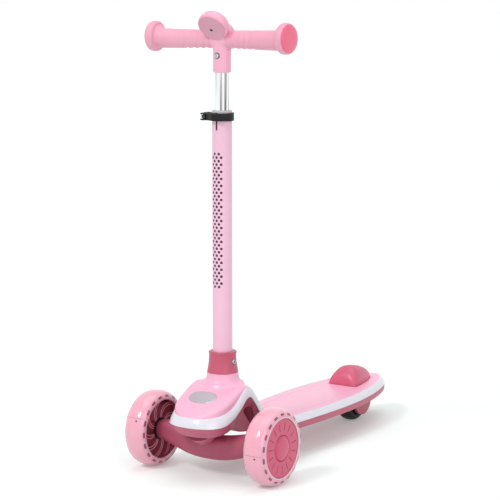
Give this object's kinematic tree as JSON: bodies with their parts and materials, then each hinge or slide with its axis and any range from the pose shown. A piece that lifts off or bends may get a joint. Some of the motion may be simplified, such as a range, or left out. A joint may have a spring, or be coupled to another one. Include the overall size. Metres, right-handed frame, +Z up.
{
  "type": "kids kick scooter",
  "caption": "Child's lean-to-steer kick scooter with wide front wheels, a small rear wheel under a foot brake, and a telescopic handlebar with a quick-release clamp.",
  "frame": {"origin": "on the ground, under the middle of the whole outline", "axes": "+Z up, the rider looks along -Y, +X is the rider's left"},
  "size_m": [0.2614, 0.593, 0.7143],
  "materials": {
    "pink_shell": "gloss",
    "pink_paint": "satin powder coat",
    "soft_grip": "matte",
    "pink_moulding": "satin",
    "rose_nylon": "satin",
    "coral_cap": "gloss",
    "white_trim": "gloss",
    "clear_pink": "translucent, glossy",
    "black_tyre": "satin",
    "black_nylon": "satin",
    "steel": "plain zinc",
    "dark_steel": "black oxide",
    "chrome_tube": "polished",
    "badge_silver": "satin",
    "white_nylon": "natural"
  },
  "bodies": {
    "deck": {"top_shell": "pink_shell", "stem_tube": "pink_paint", "lower_shell": "rose_nylon", "collar": "rose_nylon", "rear_bracket": "rose_nylon", "trim_band": "white_trim", "clamp_ring": "black_nylon", "kingpin": "steel", "rear_axle": "steel", "rear_axle_nut": "steel", "brake_pin": "steel", "brake_spring": "steel", "collar_bolt": "steel", "collar_nut": "steel", "clamp_bolt": "steel", "clamp_nut": "steel", "clamp_pin": "steel", "kingpin_nut": "dark_steel", "shell_screw_1": "dark_steel", "shell_screw_2": "dark_steel", "shell_screw_3": "dark_steel", "shell_screw_4": "dark_steel", "badge_plate": "badge_silver", "steering_bracket": "white_nylon", "tube_bush": "white_nylon"},
    "front_beam": {"front_beam": "rose_nylon", "kingpin_bush": "white_nylon", "wheel_axle_left": "steel", "wheel_axle_right": "steel"},
    "wheel_left": {"tyre_left": "clear_pink", "hub_left": "rose_nylon", "hub_cap_left": "rose_nylon", "light_strip_left": "white_nylon", "bearing_inner_left": "steel", "bearing_outer_left": "steel"},
    "wheel_right": {"tyre_right": "clear_pink", "hub_right": "rose_nylon", "hub_cap_right": "rose_nylon", "light_strip_right": "white_nylon", "bearing_inner_right": "steel", "bearing_outer_right": "steel"},
    "wheel_rear": {"rear_tyre": "black_tyre", "rear_hub": "rose_nylon", "rear_bearing_left": "steel", "rear_bearing_right": "steel"},
    "brake": {"brake_fender": "coral_cap", "brake_plate": "steel"},
    "handlebar": {"inner_tube": "chrome_tube", "tee_body": "pink_moulding", "bar_tube": "steel", "grip_left": "soft_grip", "grip_right": "soft_grip", "end_cap_left": "coral_cap", "end_cap_right": "coral_cap", "snap_spring": "steel", "tee_screw": "steel", "pod_screw": "dark_steel"},
    "snap_button": {"snap_button": "steel"},
    "clamp_lever": {"clamp_lever": "black_nylon"}
  },
  "joints": [
    {"name": "lean_steer", "type": "hinge", "parent": "deck", "child": "front_beam", "pos_m": [0, -0.2285, 0.0455], "axis": [0, -0.5736, 0.8192], "range_deg": [-10, 10], "stiffness_Nm_per_rad": 14},
    {"name": "wheel_left_spin", "type": "hinge", "parent": "front_beam", "child": "wheel_left", "pos_m": [0.1105, -0.2255, 0.06], "axis": [1, 0, 0], "continuous": true},
    {"name": "wheel_right_spin", "type": "hinge", "parent": "front_beam", "child": "wheel_right", "pos_m": [-0.1105, -0.2255, 0.06], "axis": [1, 0, 0], "continuous": true},
    {"name": "wheel_rear_spin", "type": "hinge", "parent": "deck", "child": "wheel_rear", "pos_m": [0, 0.2055, 0.04], "axis": [1, 0, 0], "continuous": true},
    {"name": "brake_press", "type": "hinge", "parent": "deck", "child": "brake", "pos_m": [0, 0.1605, 0.056], "axis": [-1, 0, 0], "range_deg": [0, 4], "stiffness_Nm_per_rad": 4, "springref_deg": -2.86},
    {"name": "handlebar_height", "type": "slide", "parent": "deck", "child": "handlebar", "axis": [0, 0, 1], "range_m": [-0.055, 0.1]},
    {"name": "snap_press", "type": "slide", "parent": "handlebar", "child": "snap_button", "axis": [0, 1, 0], "range_m": [0, 0.003], "stiffness_N_per_m": 250, "springref_m": -0.002},
    {"name": "clamp_open", "type": "hinge", "parent": "deck", "child": "clamp_lever", "pos_m": [-0.0245, -0.20865, 0.554], "axis": [0, 0, -1], "range_deg": [0, 150]}
  ]
}
